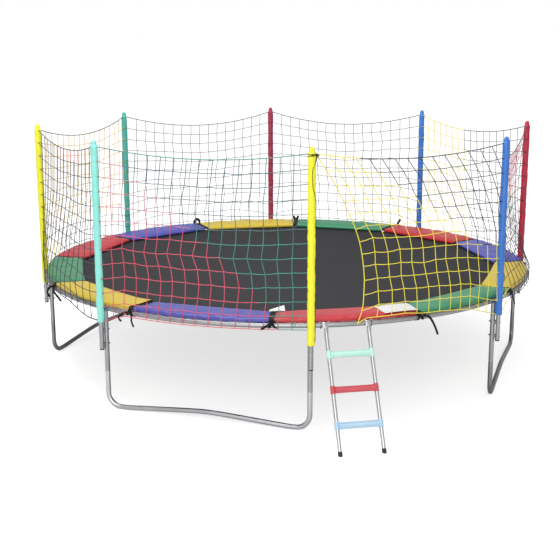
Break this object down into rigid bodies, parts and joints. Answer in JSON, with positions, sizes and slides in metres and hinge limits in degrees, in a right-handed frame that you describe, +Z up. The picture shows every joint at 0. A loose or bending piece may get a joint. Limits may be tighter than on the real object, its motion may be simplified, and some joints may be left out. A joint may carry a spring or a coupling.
{
  "type": "trampoline",
  "caption": "Round outdoor trampoline on bent-tube leg bases, with a sprung mat, coloured safety pads, padded poles, a hung net with an open entrance and a hook-on ladder.",
  "frame": {"origin": "on the floor, under the middle of the whole outline's box, ladder included", "axes": "+Z up, -Y towards the front pole and the ladder, +X to the right of someone who faces the front from outside"},
  "size_m": [4.4206, 4.8504, 2.085],
  "materials": {
    "galvanised_steel": "zinc-coated bent tube, satin grey",
    "silver_steel": "bright zinc-coated tube, lighter than the frame",
    "spring_steel": "galvanised coil-spring wire, satin",
    "mat_mesh": "woven black polypropylene mesh, matte",
    "black_rubber": "moulded black rubber, matte",
    "pad_red": "red vinyl-coated cloth over foam, smooth with a soft gloss",
    "pad_green": "green vinyl-coated cloth over foam, smooth with a soft gloss",
    "pad_yellow": "yellow vinyl-coated cloth over foam, smooth with a soft gloss",
    "pad_blue": "blue vinyl-coated cloth over foam, smooth with a soft gloss",
    "cover_yellow": "yellow vinyl sleeve over foam, glossy",
    "cover_blue": "blue vinyl sleeve over foam, glossy",
    "cover_red": "red vinyl sleeve over foam, glossy",
    "cover_crimson": "crimson vinyl sleeve over foam, glossy",
    "cover_teal": "teal vinyl sleeve over foam, glossy",
    "cover_turquoise": "turquoise vinyl sleeve over foam, glossy",
    "net_red": "knotted red netting twine, matte",
    "net_yellow": "knotted yellow netting twine, matte",
    "net_orange": "knotted orange-yellow netting twine, matte",
    "net_dark": "knotted dark grey netting twine, matte",
    "step_blue": "pale blue moulded step",
    "step_red": "red moulded step",
    "step_mint": "mint green moulded step"
  },
  "bodies": {
    "frame": {"ring_segment_front": "galvanised_steel", "ring_segment_front_right": "galvanised_steel", "ring_segment_right": "galvanised_steel", "ring_segment_back_right": "galvanised_steel", "ring_segment_back": "galvanised_steel", "ring_segment_back_left": "galvanised_steel", "ring_segment_left": "galvanised_steel", "ring_segment_front_left": "galvanised_steel", "leg_base_front": "galvanised_steel", "leg_base_right": "galvanised_steel", "leg_base_back": "galvanised_steel", "leg_base_left": "galvanised_steel", "pole_front": "galvanised_steel", "pole_front_right": "galvanised_steel", "pole_right": "galvanised_steel", "pole_back_right": "galvanised_steel", "pole_back": "galvanised_steel", "pole_back_left": "galvanised_steel", "pole_left": "galvanised_steel", "pole_front_left": "galvanised_steel", "pole_cover_front": "cover_yellow", "pole_cover_front_right": "cover_blue", "pole_cover_right": "cover_red", "pole_cover_back_right": "cover_blue", "pole_cover_back": "cover_crimson", "pole_cover_back_left": "cover_teal", "pole_cover_left": "cover_yellow", "pole_cover_front_left": "cover_turquoise", "pad_red_1": "pad_red", "pad_red_2": "pad_red", "pad_red_3": "pad_red", "pad_green_1": "pad_green", "pad_green_2": "pad_green", "pad_green_3": "pad_green", "pad_yellow_1": "pad_yellow", "pad_yellow_2": "pad_yellow", "pad_yellow_3": "pad_yellow", "pad_blue_1": "pad_blue", "pad_blue_2": "pad_blue", "pad_blue_3": "pad_blue", "net_entrance": "net_yellow", "net_front_right_to_right": "net_red", "net_right_to_back_right": "net_yellow", "net_back_right_to_back": "net_dark", "net_back_to_back_left": "net_dark", "net_back_left_to_left": "net_orange", "net_left_to_front_left": "net_dark", "net_front_left_to_front": "net_red"},
    "mat": {"jumping_mat": "mat_mesh", "mat_springs": "spring_steel"},
    "ladder": {"ladder_stile_left": "silver_steel", "ladder_boot_left": "black_rubber", "ladder_stile_right": "silver_steel", "ladder_boot_right": "black_rubber", "ladder_step_bottom": "step_blue", "ladder_step_middle": "step_red", "ladder_step_top": "step_mint"}
  },
  "joints": [
    {"name": "mat_bounce", "type": "slide", "parent": "frame", "child": "mat", "axis": [0, 0, 1], "range_m": [-0.18, 0], "stiffness_N_per_m": 6000, "springref_m": 0.05, "deforming": ["mat_springs"]},
    {"name": "ladder_swing", "type": "hinge", "parent": "frame", "child": "ladder", "pos_m": [0.25892, -1.89386, 0.79987], "axis": [-0.9925, -0.1219, 0], "range_deg": [0, 60]}
  ]
}
